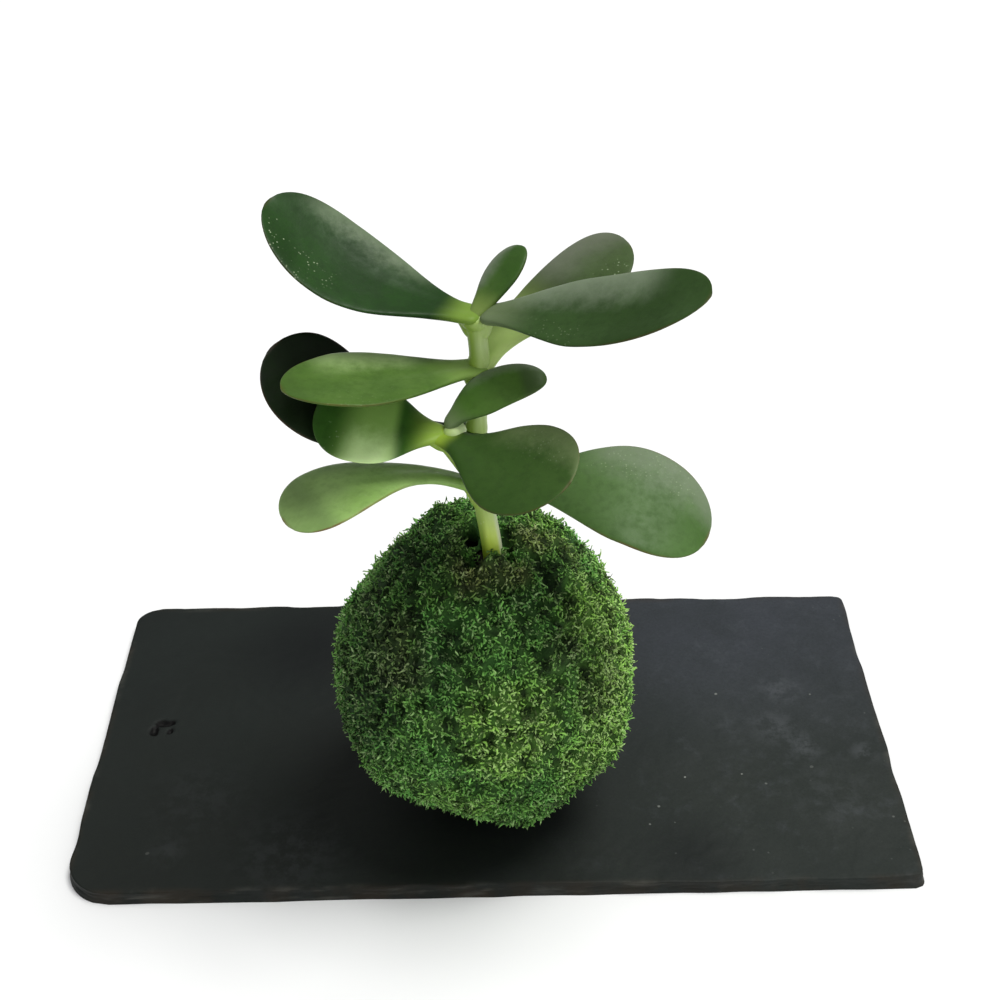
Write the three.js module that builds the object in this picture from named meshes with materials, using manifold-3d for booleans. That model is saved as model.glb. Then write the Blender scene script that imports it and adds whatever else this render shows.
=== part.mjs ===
// Kokedama: a fleshy-leaved plant in a ball of soil wrapped in moss, standing on a slate plate.
// Millimetres, +Z up. The origin is the middle of the plate's underside, +X runs along the plate's
// long side and +Y to its back.

import * as THREE from 'three';
import { mergeVertices } from 'three/addons/utils/BufferGeometryUtils.js';
import Module from 'manifold-3d';

const wasm = await Module();
wasm.setup();

// Driving dimensions
const GAP = 0.3;

const PLATE = {
  length: 250, depth: 128, thickness: 4.5,
  cornerRadius: { backLeft: 8, frontLeft: 14, backRight: 3, frontRight: 3 },
  edgeRoughness: 0.5, edgeWave: 9, chipLeast: 0.3, chipDepth: 1.5, chipSize: 11,
  splitHeight: 2.1, splitShare: 0.3, rivenDepth: 0.55, rivenSize: 34, flatRadius: 30, flatFade: 14,
  cellsLong: 40, cellsDeep: 20,
};

const BALL = {
  centre: [-1.9, -22.4, 53], radius: 44.3, halfHeight: 50, mossThickness: 8,
  meshDetail: 16, soilDetail: 6, cavityDetail: 7,
};

// Broad hollows and bulges of the ball: direction in degrees, height in millimetres, spread in degrees
const LUMPS = [
  { azimuth: 150, elevation: 43, height: -2.8, spread: 24 },
  { azimuth: 112, elevation: 57, height: 2.0, spread: 12 },
  { azimuth: 126, elevation: 46, height: 1.6, spread: 8 },
  { azimuth: 44, elevation: 50, height: 1.8, spread: 22 },
  { azimuth: 12, elevation: 16, height: 0.9, spread: 14 },
  { azimuth: -7, elevation: -8, height: 1.1, spread: 15 },
  { azimuth: -24, elevation: -24, height: 3.0, spread: 15 },
  { azimuth: -46, elevation: -46, height: 1.4, spread: 13 },
  { azimuth: -66, elevation: -45, height: 2.6, spread: 14 },
  { azimuth: -115, elevation: -44, height: -1.8, spread: 18 },
  { azimuth: -154, elevation: -31, height: 1.1, spread: 15 },
  { azimuth: -60, elevation: 12, height: 1.2, spread: 26 },
  { azimuth: -120, elevation: 8, height: -0.8, spread: 24 },
];

// Level of the flat spot the ball rests on, and the moss left under the soil there
const REST = PLATE.thickness + GAP;
const MOSS_FLOOR = 5;

const TUFT = { count: 330, height: 2.6, reach: 5.6 };
const DIMPLE = { depth: 5.5, floorRadius: 4.2, radius: 12, holeRadius: 6.2, holeLength: 40 };

const STEM = { sides: 12, baseRadius: 2.8, topRadius: 2.5, shootRadius: 2.3, swelling: 0.35, endRise: 1.4 };
const NODE = {
  buried: [3.2, -26.5, 70],
  soilLine: [2.1, -27.5, 97.2],
  low: [-0.4, -25.5, 117],
  back: [-1.4, -22.3, 133.2],
  upper: [0, -21.5, 151.9],
  top: [-0.9, -20.5, 165.9],
  shootBend: [-5, -29.5, 128.6],
  shoot: [-10, -33.5, 140],
};

// Leaves. Angles in degrees: azimuth from +X to +Y, rise above the level at the base, curl added to
// the rise by the tip, roll about the leaf's own line and sweep added to the azimuth by the tip.
// widest is the place of the greatest width along the leaf, taper how late the narrow base opens,
// skew the sideways bow of the blade and cup the rise of its edges over the midrib.
const LEAF = {
  thickness: 3.6, thinning: 0.25, baseShare: 0.24, seat: 1.2, rollReach: 0.45, tipPower: 2.3,
  endFrom: 0.7, endPower: 2.2, rings: 13, sides: 12, lineSteps: 60,
};
const LEAVES = [
  { name: 'leaf_top_left', node: 'top', azimuth: 157, rise: 1, curl: 45, roll: -12, sweep: 7,
    length: 60.5, width: 28, widest: 0.64, taper: 1.6, skew: 0.15, cup: 0.16 },
  { name: 'leaf_top_right', node: 'top', azimuth: 345, rise: 10, curl: 16, roll: 30, sweep: -25,
    length: 64, width: 21.5, widest: 0.61, taper: 0.95, skew: -0.2, cup: 0.2 },
  { name: 'leaf_top_young', node: 'top', azimuth: 52, rise: 31, curl: 0, roll: -9, sweep: 0,
    length: 22.5, width: 10.5, widest: 0.61, taper: 1.3, skew: 0, cup: 0.1 },
  { name: 'leaf_upper_right', node: 'upper', azimuth: 46, rise: 37, curl: -22, roll: 10, sweep: -33,
    length: 50.5, width: 23, widest: 0.76, taper: 1.95, skew: -0.28, cup: 0.05 },
  { name: 'leaf_upper_left', node: 'upper', azimuth: 201, rise: 3, curl: 9, roll: -1, sweep: 3,
    length: 51.5, width: 25.5, widest: 0.64, taper: 1.55, skew: 0, cup: 0.14 },
  { name: 'leaf_back_left', node: 'back', azimuth: 184, rise: -3, curl: 60, roll: -32, sweep: -11,
    length: 59.5, width: 27.5, widest: 0.73, taper: 4, skew: 0, cup: 0.12 },
  { name: 'leaf_shoot_left', node: 'shoot', azimuth: 176, rise: 3, curl: 17, roll: -31, sweep: -5,
    length: 32, width: 23, widest: 0.67, taper: 1.05, skew: 0, cup: 0.1 },
  { name: 'leaf_shoot_front', node: 'shoot', azimuth: 320, rise: -5, curl: 20, roll: 22, sweep: -4,
    length: 41.5, width: 28, widest: 0.65, taper: 2.2, skew: 0, cup: 0.09 },
  { name: 'leaf_shoot_small', node: 'shoot', azimuth: 20, rise: 51, curl: -54, roll: 25, sweep: -14,
    length: 31, width: 11.8, widest: 0.53, taper: 2, skew: 0, cup: 0.14 },
  { name: 'leaf_low_left', node: 'low', azimuth: 198, rise: 41, curl: -66, roll: 5, sweep: 15,
    length: 57.5, width: 26.5, widest: 0.79, taper: 4.3, skew: 0.04, cup: 0.04 },
  { name: 'leaf_low_right', node: 'low', azimuth: 342, rise: 27, curl: -59, roll: 15, sweep: -3,
    length: 63, width: 31, widest: 0.67, taper: 2.9, skew: 0.09, cup: 0.05 },
];

const COLOUR = {
  slate: '#33363a', moss: '#3f6a2a', soil: '#2b2019', stem: '#9db65a', leaf: '#42662f', young: '#6f9a44',
};

// Small maths
const radians = THREE.MathUtils.degToRad;
const smoothstep = THREE.MathUtils.smoothstep;
const lerp = THREE.MathUtils.lerp;
const clamp = THREE.MathUtils.clamp;
const vector = ([x, y, z]) => new THREE.Vector3(x, y, z);

// A repeatable number from 0 to 1 for three whole numbers
function lattice(i, j, k) {
  let h = (Math.imul(i, 374761393) + Math.imul(j, 668265263) + Math.imul(k, 1442695041)) | 0;
  h = Math.imul(h ^ (h >>> 13), 1274126177);
  return ((h ^ (h >>> 16)) >>> 0) / 4294967296;
}

// Smooth noise from -1 to 1
function noise(x, y, z) {
  const [i, j, k] = [x, y, z].map(Math.floor);
  const [u, v, w] = [x - i, y - j, z - k].map((t) => t * t * (3 - 2 * t));
  const row = (b, c) => lerp(lattice(i, b, c), lattice(i + 1, b, c), u);
  const face = (c) => lerp(row(j, c), row(j + 1, c), v);
  return 2 * lerp(face(k), face(k + 1), w) - 1;
}

// Meshes and solids
function meshGeometry(points, faces) {
  const geometry = new THREE.BufferGeometry();
  geometry.setAttribute('position', new THREE.Float32BufferAttribute(points.flat(), 3));
  geometry.setIndex(faces.flat());
  return geometry;
}

function solidOf(geometry) {
  const bare = geometry.clone();
  bare.deleteAttribute('normal');
  bare.deleteAttribute('uv');
  const merged = mergeVertices(bare, 1e-5);
  return new wasm.Manifold(new wasm.Mesh({
    numProp: 3,
    vertProperties: new Float32Array(merged.attributes.position.array),
    triVerts: new Uint32Array(merged.index.array),
  }));
}

function geometryOf(solid) {
  const mesh = solid.getMesh();
  const geometry = new THREE.BufferGeometry();
  geometry.setAttribute('position', new THREE.BufferAttribute(mesh.vertProperties, 3));
  geometry.setIndex(new THREE.BufferAttribute(mesh.triVerts, 1));
  geometry.computeVertexNormals();
  return geometry;
}

function largestPiece(solid) {
  const pieces = solid.decompose();
  return pieces.reduce((best, piece) => (piece.volume() > best.volume() ? piece : best));
}

// A closed skin over rings of equally many points, with a centre point closing each end
function loft(rings, firstEnd, lastEnd) {
  const sides = rings[0].length;
  const points = [...rings.flat(), firstEnd, lastEnd];
  const first = points.length - 2;
  const last = points.length - 1;
  const faces = [];
  rings.slice(1).forEach((ring, r) => {
    for (let s = 0; s < sides; s += 1) {
      const t = (s + 1) % sides;
      const [a, b] = [r * sides + s, r * sides + t];
      faces.push([a, b, b + sides], [a, b + sides, a + sides]);
    }
  });
  for (let s = 0; s < sides; s += 1) {
    const t = (s + 1) % sides;
    faces.push([first, t, s], [last, (rings.length - 1) * sides + s, (rings.length - 1) * sides + t]);
  }
  return meshGeometry(points, faces);
}

// Slate plate
function cornerInset(y, frontRadius, backRadius) {
  const half = PLATE.depth / 2;
  const radius = y < 0 ? frontRadius : backRadius;
  const into = Math.max(0, Math.abs(y) - (half - radius));
  return radius - Math.sqrt(radius * radius - into * into);
}

function plateOutline(across, deep) {
  const { cornerRadius: corner, edgeRoughness: rough } = PLATE;
  const rag = (place, side) => rough * (0.5 + 0.5 * noise(place / PLATE.edgeWave, side * 7.3, 0.5));
  const flatY = (deep - 0.5) * PLATE.depth;
  const left = -PLATE.length / 2 + cornerInset(flatY, corner.frontLeft, corner.backLeft) + rag(flatY, 1);
  const right = PLATE.length / 2 - cornerInset(flatY, corner.frontRight, corner.backRight) - rag(flatY, 2);
  const x = lerp(left, right, across);
  const halfDepth = PLATE.depth / 2 - rag(x, deep < 0.5 ? 3 : 4);
  return [x, flatY * halfDepth / (PLATE.depth / 2)];
}

function chip([x, y]) {
  const shape = 0.5 + 0.5 * noise(x / PLATE.chipSize, y / PLATE.chipSize, 3.7);
  return PLATE.chipLeast + PLATE.chipDepth * shape * shape;
}

function inward([x, y], distance) {
  const [halfX, halfY] = [PLATE.length / 2, PLATE.depth / 2];
  return [x - (x / halfX) * distance, y - (y / halfY) * distance];
}

function rivenTop([x, y]) {
  const away = Math.hypot(x - BALL.centre[0], y - BALL.centre[1]) - PLATE.flatRadius;
  const grain = 0.5 + 0.5 * noise(x / PLATE.rivenSize, y / (0.6 * PLATE.rivenSize), 9.1);
  return PLATE.thickness - PLATE.rivenDepth * grain * smoothstep(away, 0, PLATE.flatFade);
}

function plateSolid() {
  const { cellsLong: nx, cellsDeep: ny } = PLATE;
  const points = [];
  const faces = [];
  const top = (i, j) => j * (nx + 1) + i;
  for (let j = 0; j <= ny; j += 1) {
    for (let i = 0; i <= nx; i += 1) {
      const edge = plateOutline(i / nx, j / ny);
      const [x, y] = inward(edge, chip(edge));
      points.push([x, y, rivenTop([x, y])]);
    }
  }
  for (let j = 0; j < ny; j += 1) {
    for (let i = 0; i < nx; i += 1) {
      const [a, b, c, d] = [top(i, j), top(i + 1, j), top(i + 1, j + 1), top(i, j + 1)];
      faces.push([a, b, c], [a, c, d]);
    }
  }
  const rim = [];
  for (let i = 0; i < nx; i += 1) rim.push([i, 0]);
  for (let j = 0; j < ny; j += 1) rim.push([nx, j]);
  for (let i = nx; i > 0; i -= 1) rim.push([i, ny]);
  for (let j = ny; j > 0; j -= 1) rim.push([0, j]);
  const outer = rim.map(([i, j]) => plateOutline(i / nx, j / ny));
  const split = points.length;
  outer.forEach((edge) => points.push([...inward(edge, PLATE.splitShare * chip(edge)), PLATE.splitHeight]));
  const base = points.length;
  outer.forEach((edge) => points.push([...edge, 0]));
  rim.forEach(([i, j], n) => {
    const next = (n + 1) % rim.length;
    const [a, b] = [top(i, j), top(...rim[next])];
    faces.push([a, split + n, b], [b, split + n, split + next]);
    faces.push([split + n, base + n, split + next], [split + next, base + n, base + next]);
  });
  const contour = outer.map(([x, y]) => new THREE.Vector2(x, y));
  THREE.ShapeUtils.triangulateShape(contour, []).forEach(([a, b, c]) => {
    faces.push([base + a, base + c, base + b]);
  });
  return solidOf(meshGeometry(points, faces));
}

// Ball
function direction(azimuth, elevation) {
  const [a, e] = [radians(azimuth), radians(elevation)];
  return new THREE.Vector3(Math.cos(a) * Math.cos(e), Math.sin(a) * Math.cos(e), Math.sin(e));
}

function broadShape(unit) {
  const lumps = LUMPS.map((lump) => {
    const angle = THREE.MathUtils.radToDeg(unit.angleTo(direction(lump.azimuth, lump.elevation)));
    return lump.height * Math.exp(-((angle / lump.spread) ** 2));
  });
  const waves = 0.8 * noise(3.1 * unit.x + 5, 3.1 * unit.y + 5, 3.1 * unit.z + 5);
  return waves + lumps.reduce((sum, height) => sum + height, 0);
}

// Evenly spread, slightly jittered directions of the moss tufts
function tuftDirections() {
  const golden = Math.PI * (3 - Math.sqrt(5));
  return Array.from({ length: TUFT.count }, (_, n) => {
    const z = 1 - (2 * n + 1) / TUFT.count;
    const turn = n * golden + 0.25 * lattice(n, 1, 0);
    const level = Math.sqrt(1 - z * z);
    return new THREE.Vector3(level * Math.cos(turn), level * Math.sin(turn), z + 0.03 * lattice(n, 2, 0));
  });
}

function ballSolid(radius, halfHeight, detail, relief, lowest) {
  const geometry = new THREE.IcosahedronGeometry(1, detail);
  const place = geometry.attributes.position;
  const unit = new THREE.Vector3();
  const centre = vector(BALL.centre);
  for (let n = 0; n < place.count; n += 1) {
    unit.fromBufferAttribute(place, n).normalize();
    const lift = relief(unit);
    const point = new THREE.Vector3(
      unit.x * (radius + lift), unit.y * (radius + lift), unit.z * (halfHeight + lift),
    ).add(centre);
    place.setXYZ(n, point.x, point.y, Math.max(point.z, lowest));
  }
  return solidOf(geometry);
}

function dimpleDepth(unit) {
  const x = unit.x * BALL.radius + BALL.centre[0] - NODE.soilLine[0];
  const y = unit.y * BALL.radius + BALL.centre[1] - NODE.soilLine[1];
  const away = smoothstep(Math.hypot(x, y), DIMPLE.floorRadius, DIMPLE.radius);
  return unit.z > 0 ? DIMPLE.depth * (1 - away) : 0;
}

function mossRelief(tufts) {
  const height = tufts.map((_, n) => TUFT.height * (0.55 + 0.45 * lattice(n, 3, 0)));
  return (unit) => {
    let tuft = 0;
    tufts.forEach((tip, n) => {
      const apart = BALL.radius * unit.distanceTo(tip);
      if (apart < TUFT.reach) tuft = Math.max(tuft, height[n] * (1 - (apart / TUFT.reach) ** 2));
    });
    return broadShape(unit) + tuft - 0.5 * TUFT.height - dimpleDepth(unit);
  };
}

function mossSolid() {
  const { radius, halfHeight, mossThickness: skin } = BALL;
  const outside = ballSolid(radius, halfHeight, BALL.meshDetail, mossRelief(tuftDirections()), REST);
  const cavity = ballSolid(radius - skin, halfHeight - skin, BALL.cavityDetail, () => 0, REST + MOSS_FLOOR);
  const [x, y, z] = NODE.soilLine;
  const mouth = new THREE.CylinderGeometry(DIMPLE.holeRadius, DIMPLE.holeRadius, DIMPLE.holeLength, 24);
  mouth.rotateX(Math.PI / 2);
  mouth.translate(x, y, z);
  return largestPiece(outside.subtract(cavity).subtract(solidOf(mouth)));
}

function soilSolid(stemHole) {
  const { radius, halfHeight, mossThickness: skin } = BALL;
  const rough = (unit) => -0.5 * (1 + noise(9 * unit.x, 9 * unit.y, 9 * unit.z));
  const inner = skin + GAP;
  const lowest = REST + MOSS_FLOOR + GAP;
  const ball = ballSolid(radius - inner, halfHeight - inner, BALL.soilDetail, rough, lowest);
  return largestPiece(ball.subtract(stemHole));
}

// Stem
function tubeSolid(nodes, radiusAt, steps, grow) {
  const curve = new THREE.CatmullRomCurve3(nodes.map(vector));
  const frames = curve.computeFrenetFrames(steps);
  const rings = [];
  for (let n = 0; n <= steps; n += 1) {
    const centre = curve.getPointAt(n / steps);
    const radius = radiusAt(n / steps, centre);
    const ring = [];
    for (let s = 0; s < STEM.sides; s += 1) {
      const turn = (2 * Math.PI * s) / STEM.sides;
      const point = centre.clone()
        .addScaledVector(frames.normals[n], radius * Math.cos(turn))
        .addScaledVector(frames.binormals[n], radius * Math.sin(turn));
      ring.push(point.toArray());
    }
    rings.push(ring);
  }
  const [start, end] = [curve.getPointAt(0), curve.getPointAt(1)];
  start.addScaledVector(frames.tangents[0], -STEM.endRise - grow);
  end.addScaledVector(frames.tangents[steps], STEM.endRise + grow);
  return solidOf(loft(rings, start.toArray(), end.toArray()));
}

function stemSolid(grow) {
  const joints = [NODE.low, NODE.back, NODE.upper, NODE.top, NODE.shoot].map(vector);
  const swelling = (centre) => joints.reduce(
    (most, joint) => Math.max(most, STEM.swelling * Math.exp(-((centre.distanceTo(joint) / 3) ** 2))), 0,
  );
  const mainRadius = (t, centre) => grow + swelling(centre) + lerp(STEM.baseRadius, STEM.topRadius, t);
  const sideRadius = (t, centre) => grow + swelling(centre) + STEM.shootRadius;
  const main = tubeSolid(
    [NODE.buried, NODE.soilLine, NODE.low, NODE.back, NODE.upper, NODE.top], mainRadius, 24, grow,
  );
  const side = tubeSolid([NODE.low, NODE.shootBend, NODE.shoot], sideRadius, 8, grow);
  return main.add(side);
}

// Leaf
function halfWidthShare(u, leaf) {
  if (u < leaf.widest) {
    const open = Math.sin((Math.PI / 2) * (u / leaf.widest)) ** leaf.taper;
    return LEAF.baseShare + (1 - LEAF.baseShare) * open;
  }
  const toTip = (u - leaf.widest) / (1 - leaf.widest);
  return Math.sqrt(Math.max(0, 1 - toTip ** LEAF.tipPower));
}

// The leaf's own frame at a share u of its length: along, across and up
function leafFrame(u, leaf) {
  const azimuth = radians(leaf.azimuth + leaf.sweep * u);
  const rise = radians(leaf.rise + leaf.curl * u);
  const roll = radians(leaf.roll) * smoothstep(u, 0, LEAF.rollReach);
  const along = new THREE.Vector3(
    Math.cos(azimuth) * Math.cos(rise), Math.sin(azimuth) * Math.cos(rise), Math.sin(rise),
  );
  const across = new THREE.Vector3(-Math.sin(azimuth), Math.cos(azimuth), 0);
  const up = new THREE.Vector3().crossVectors(along, across);
  return { along, across: across.applyAxisAngle(along, roll), up: up.applyAxisAngle(along, roll) };
}

// The leaf's middle line from its node to its tip, as a function of the share u of its length
function leafLine(leaf) {
  const steps = LEAF.lineSteps;
  const points = [vector(NODE[leaf.node])];
  for (let n = 0; n < steps; n += 1) {
    const { along } = leafFrame((n + 0.5) / steps, leaf);
    points.push(points[n].clone().addScaledVector(along, leaf.length / steps));
  }
  return (u) => {
    const n = Math.min(steps - 1, Math.floor(u * steps));
    return points[n].clone().lerp(points[n + 1], u * steps - n);
  };
}

function leafRing(leaf, lineAt, u, grow) {
  const { across, up } = leafFrame(u, leaf);
  const half = (leaf.width / 2) * halfWidthShare(u, leaf);
  const endRound = Math.sqrt(1 - clamp((u - LEAF.endFrom) / (1 - LEAF.endFrom), 0, 1) ** LEAF.endPower);
  const thick = (LEAF.thickness / 2) * (1 - LEAF.thinning * u) * endRound + grow;
  return Array.from({ length: LEAF.sides }, (_, s) => {
    const turn = (2 * Math.PI * s) / LEAF.sides;
    const middle = half * (Math.cos(turn) + leaf.skew * Math.sin(Math.PI * u));
    const lift = thick * Math.sin(turn) + (leaf.cup * middle * middle) / half;
    const sideways = middle + grow * Math.cos(turn);
    return lineAt(u).addScaledVector(across, sideways).addScaledVector(up, lift).toArray();
  });
}

function leafSolid(leaf, grow = 0) {
  const lineAt = leafLine(leaf);
  const start = (LEAF.seat - grow) / leaf.length;
  const rings = Array.from({ length: LEAF.rings }, (_, r) => {
    const share = r / LEAF.rings;
    const closer = 0.5 * (Math.sin((Math.PI / 2) * share) + share);
    return leafRing(leaf, lineAt, lerp(start, 1, closer), grow);
  });
  const tip = lineAt(1).addScaledVector(leafFrame(1, leaf).along, grow);
  return solidOf(loft(rings, lineAt(start).toArray(), tip.toArray()));
}

// Each leaf is cut clear of the stem and of the leaves already placed
function leafSolids() {
  const stem = stemSolid(GAP);
  return LEAVES.map((leaf, n) => {
    let solid = leafSolid(leaf).subtract(stem);
    LEAVES.slice(0, n).filter((other) => other.node === leaf.node).forEach((other) => {
      solid = solid.subtract(leafSolid(other, GAP));
    });
    return { name: leaf.name, solid: largestPiece(solid) };
  });
}

// Assembly
const material = (color, roughness) => new THREE.MeshStandardMaterial({ color, roughness, metalness: 0 });
const FINISH = {
  slate: material(COLOUR.slate, 0.75),
  moss: material(COLOUR.moss, 1),
  soil: material(COLOUR.soil, 1),
  stem: material(COLOUR.stem, 0.5),
  leaf: material(COLOUR.leaf, 0.42),
  young: material(COLOUR.young, 0.42),
};
const PALE_LEAVES = ['leaf_upper_left', 'leaf_low_left'];

const kokedama = new THREE.Group();

function place(name, solid, finish) {
  const mesh = new THREE.Mesh(geometryOf(solid), finish.clone());
  mesh.name = name;
  kokedama.add(mesh);
}

place('slate_plate', plateSolid(), FINISH.slate);
place('moss_cover', mossSolid(), FINISH.moss);
place('soil_ball', soilSolid(stemSolid(GAP)), FINISH.soil);
place('stem', stemSolid(0), FINISH.stem);
leafSolids().forEach(({ name, solid }) => {
  place(name, solid, PALE_LEAVES.includes(name) ? FINISH.young : FINISH.leaf);
});

export default kokedama;
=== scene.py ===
# Kokedama moss ball plant in its finished look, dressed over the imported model's frame.
# Sizes are written in millimetres and turned into metres where a mesh or a material is made.
import math
from collections import namedtuple
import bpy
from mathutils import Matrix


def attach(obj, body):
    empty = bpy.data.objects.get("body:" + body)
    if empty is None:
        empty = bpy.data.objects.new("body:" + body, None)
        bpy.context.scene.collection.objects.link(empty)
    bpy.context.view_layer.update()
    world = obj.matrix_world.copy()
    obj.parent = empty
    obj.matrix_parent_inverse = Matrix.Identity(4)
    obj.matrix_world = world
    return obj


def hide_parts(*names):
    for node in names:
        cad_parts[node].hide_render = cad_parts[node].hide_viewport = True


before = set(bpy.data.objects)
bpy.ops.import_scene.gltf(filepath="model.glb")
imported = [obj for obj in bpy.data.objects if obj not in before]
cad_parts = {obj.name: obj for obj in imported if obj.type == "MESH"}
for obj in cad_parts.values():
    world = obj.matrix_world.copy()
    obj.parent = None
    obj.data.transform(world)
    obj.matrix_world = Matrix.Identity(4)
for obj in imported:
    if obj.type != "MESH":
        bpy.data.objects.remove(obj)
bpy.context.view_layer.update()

from types import SimpleNamespace as Named

import bmesh
import bpy
import numpy as np
from mathutils import Matrix, Vector

MM = 0.001

# Driving dimensions, the same as the model's. Corners are rounded in front and at the back
PLATE = Named(
    length=250, depth=128, thickness=4.5,
    left_corners=(14, 8), right_corners=(3, 3),
    edge_roughness=0.5, edge_wave=9, chip_least=0.3, chip_depth=1.5, chip_size=11,
    riven_depth=0.55, riven_size=34, flat_radius=30, flat_fade=14,
)
BALL = Named(centre=(-1.9, -22.4, 53), radius=44.3, half_height=50, moss=8)
GAP = 0.3
REST = PLATE.thickness + GAP
MOSS_FLOOR = 5
DIMPLE = Named(depth=5.5, floor=4.2, radius=12)

# Broad hollows and bulges of the ball: azimuth, elevation, height in millimetres, spread in degrees
LUMPS = [
    (150, 43, -2.8, 24), (112, 57, 2, 12), (126, 46, 1.6, 8), (44, 50, 1.8, 22), (12, 16, 0.9, 14),
    (-7, -8, 1.1, 15), (-24, -24, 3, 15), (-46, -46, 1.4, 13), (-66, -45, 2.6, 14), (-115, -44, -1.8, 18),
    (-154, -31, 1.1, 15), (-60, 12, 1.2, 26), (-120, 8, -0.8, 24),
]

STEM = Named(base=2.8, top=2.5, shoot=2.3, swelling=0.35)
NODE = dict(
    buried=(3.2, -26.5, 70), soil_line=(2.1, -27.5, 97.2), low=(-0.4, -25.5, 117), back=(-1.4, -22.3, 133.2),
    upper=(0, -21.5, 151.9), top=(-0.9, -20.5, 165.9), shoot_bend=(-5, -29.5, 128.6), shoot=(-10, -33.5, 140),
)

# Leaves. Angles in degrees: azimuth from +X to +Y, rise at the base, curl added to the rise and sweep added
# to the azimuth by the tip, roll about the leaf's own line. The taper is how fast the blade opens up to its
# widest place. Some bases start behind the joint, and a wing widens one side of a base.
Leaf = namedtuple(
    "Leaf", "node azimuth rise curl roll sweep length width widest taper skew cup behind wing tip_power",
    defaults=(2.2, 0, 2.3),
)
LEAVES = dict(
    leaf_top_left=Leaf("top", 157, 1, 45, -12, 7, 60.5, 28, 0.64, 1.6, 0.15, 0.16),
    leaf_top_right=Leaf("top", 345, 10, 16, 30, -25, 64, 21.5, 0.61, 0.95, -0.2, 0.2, behind=-1.5),
    leaf_top_young=Leaf("top", 52, 31, 0, -9, 0, 22.5, 10.5, 0.61, 1.3, 0, 0.1),
    leaf_upper_right=Leaf("upper", 46, 37, -22, 10, -33, 50.5, 23, 0.76, 1.95, -0.28, 0.05, wing=4),
    leaf_upper_left=Leaf("upper", 201, 3, 9, -1, 3, 51.5, 25.5, 0.64, 1.55, 0, 0.14, tip_power=1.75),
    leaf_back_left=Leaf("back", 184, -3, 60, -32, -11, 59.5, 27.5, 0.73, 4, 0, 0.12),
    leaf_shoot_left=Leaf("shoot", 176, 3, 17, -31, -5, 32, 23, 0.67, 1.05, 0, 0.1),
    leaf_shoot_front=Leaf("shoot", 320, -5, 20, 22, -4, 41.5, 28, 0.65, 2.2, 0, 0.09),
    leaf_shoot_small=Leaf("shoot", 20, 51, -54, 25, -14, 31, 11.8, 0.53, 2, 0, 0.14, behind=-1.8),
    leaf_low_left=Leaf("low", 198, 41, -66, 5, 15, 57.5, 26.5, 0.79, 4.3, 0.04, 0.04),
    leaf_low_right=Leaf("low", 342, 27, -59, 15, -3, 63, 31, 0.67, 2.9, 0.09, 0.05),
)


# Small maths on arrays
def smoothstep(x, low, high):
    t = np.clip((x - low) / (high - low), 0, 1)
    return t * t * (3 - 2 * t)


# Large odd numbers that scatter the values of whole numbers
SCATTER = np.array([374761393, 668265263, 1442695041, 1274126177], np.uint32)
FIRST_SHIFT, SECOND_SHIFT = 13, 16


def lattice(i, j, k):
    """Repeatable numbers from 0 to 1 for three arrays of whole numbers."""
    i, j, k = (n.astype(np.int64).astype(np.uint32) for n in (i, j, k))
    mixed = i * SCATTER[0] + j * SCATTER[1] + k * SCATTER[2]
    mixed = (mixed ^ (mixed >> FIRST_SHIFT)) * SCATTER[3]
    return (mixed ^ (mixed >> SECOND_SHIFT)) / 2.0**32


def noise(x, y, z):
    """Smooth noise from -1 to 1. A bare number for z only picks a pattern."""
    x, y, z = np.broadcast_arrays(*np.atleast_1d(x, y, z))
    i, j, k = np.floor(x), np.floor(y), np.floor(z)
    u, v, w = (smoothstep(t, 0, 1) for t in (x - i, y - j, z - k))

    def row(b, c):
        return lattice(i, b, c) * (1 - u) + lattice(i + 1, b, c) * u

    def face(c):
        return row(j, c) * (1 - v) + row(j + 1, c) * v

    return 2 * (face(k) * (1 - w) + face(k + 1) * w) - 1


def share_noise(x, y, z):
    """The same noise from 0 to 1."""
    return 0.5 + 0.5 * noise(x, y, z)


def layered_noise(points, size, octaves=3):
    """Noise of several finenesses, from -1 to 1. Whatever is added to the points only picks a pattern."""
    total = 0
    for octave in range(octaves):
        scale = 2**octave / size
        total = total + noise(*(points.T * scale + 13.7 * octave)) / 2**octave
    return total / (2 - 2 ** (1 - octaves))


def lengths(vectors):
    return np.linalg.norm(vectors, axis=-1)


def unit(vectors):
    return vectors / np.linalg.norm(vectors, axis=-1, keepdims=True)


def squared_off(vectors, axes):
    """Unit vectors at right angles to unit axes."""
    return unit(vectors - np.sum(vectors * axes, axis=1, keepdims=True) * axes)


def direction(azimuth, elevation):
    a, e = np.radians(azimuth), np.radians(elevation)
    return np.stack([np.cos(a) * np.cos(e), np.sin(a) * np.cos(e), np.sin(e)], -1)


def turned(vectors, axes, angles):
    """Vectors turned about axes by angles in radians."""
    c, s = np.cos(angles)[..., None], np.sin(angles)[..., None]
    along = np.sum(vectors * axes, axis=-1, keepdims=True) * axes
    return vectors * c + np.cross(axes, vectors) * s + along * (1 - c)


def wound(side, other, angles):
    """Directions at angles from one side towards the other."""
    return side * np.cos(angles)[:, None] + other * np.sin(angles)[:, None]


# Meshes
def placed(name, data):
    """A new object in the scene."""
    new = bpy.data.objects.new(name, data)
    bpy.context.scene.collection.objects.link(new)
    return new


def mesh_piece(name, points, faces):
    """A new smooth object from points in millimetres and faces."""
    mesh = bpy.data.meshes.new(name)
    mesh.from_pydata(np.asarray(points, np.float32) * MM, [], faces, shade_flat=False)
    return placed(name, mesh)


def points_of(piece):
    """The piece's points in millimetres."""
    return np.array([point.co for point in piece.data.vertices]) / MM


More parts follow.
